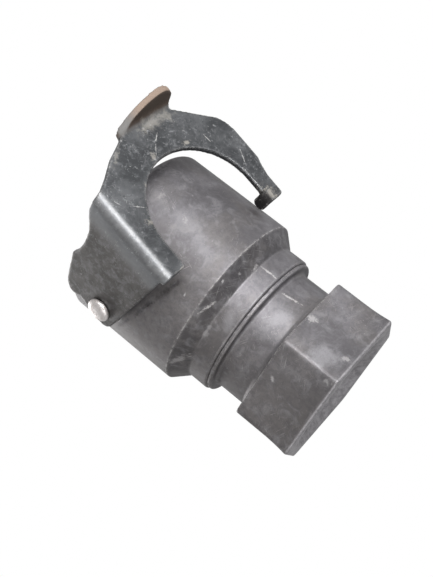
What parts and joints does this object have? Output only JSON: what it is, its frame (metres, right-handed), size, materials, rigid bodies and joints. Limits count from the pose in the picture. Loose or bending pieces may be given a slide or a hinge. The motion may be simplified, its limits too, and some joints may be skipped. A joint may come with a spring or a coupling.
{
  "type": "quick disconnect coupler",
  "caption": "Quick disconnect coupler: a socket body with a sprung valve, a hexagonal female-thread adapter and a swing yoke latch on a side rivet.",
  "frame": {"origin": "under the middle of the bounding box, at the hexagonal end face, which is the lowest face", "axes": "+Z along the coupler's axis from the thread end to the socket mouth; the yoke's plate hangs on the -Y side and its rivet is on the -X side"},
  "size_m": [0.0546, 0.0692, 0.0793],
  "materials": {
    "phosphated_steel": "dark phosphate coat, dusty and scuffed",
    "yoke_steel": "black oxide coat, worn bright at edges and bends",
    "rivet_steel": "bare steel, lightly scratched",
    "spring_steel": "bright wire and strip",
    "brass": "turned brass, dull",
    "black_rubber": "matt nitrile rubber",
    "pale_nylon": "matt"
  },
  "bodies": {
    "coupler": {"socket_body": "phosphated_steel", "hex_adapter": "phosphated_steel", "pivot_rivet": "rivet_steel", "pivot_washer": "spring_steel", "socket_seal": "black_rubber", "backup_ring": "pale_nylon", "adapter_seal": "black_rubber", "valve_guide": "brass", "retaining_ring": "spring_steel", "valve_spring": "spring_steel"},
    "yoke": {"yoke_latch": "yoke_steel"},
    "valve": {"valve_poppet": "brass", "valve_seal": "black_rubber"}
  },
  "joints": [
    {"name": "yoke_swing", "type": "hinge", "parent": "coupler", "child": "yoke", "pos_m": [0.00205, 0.00935, 0.06], "axis": [-1, 0, 0], "range_deg": [0, 204]},
    {"name": "valve_stroke", "type": "slide", "parent": "coupler", "child": "valve", "axis": [0, 0, -1], "range_m": [0, 0.006], "stiffness_N_per_m": 2000, "springref_m": -0.004, "deforming": ["valve_spring"]}
  ]
}
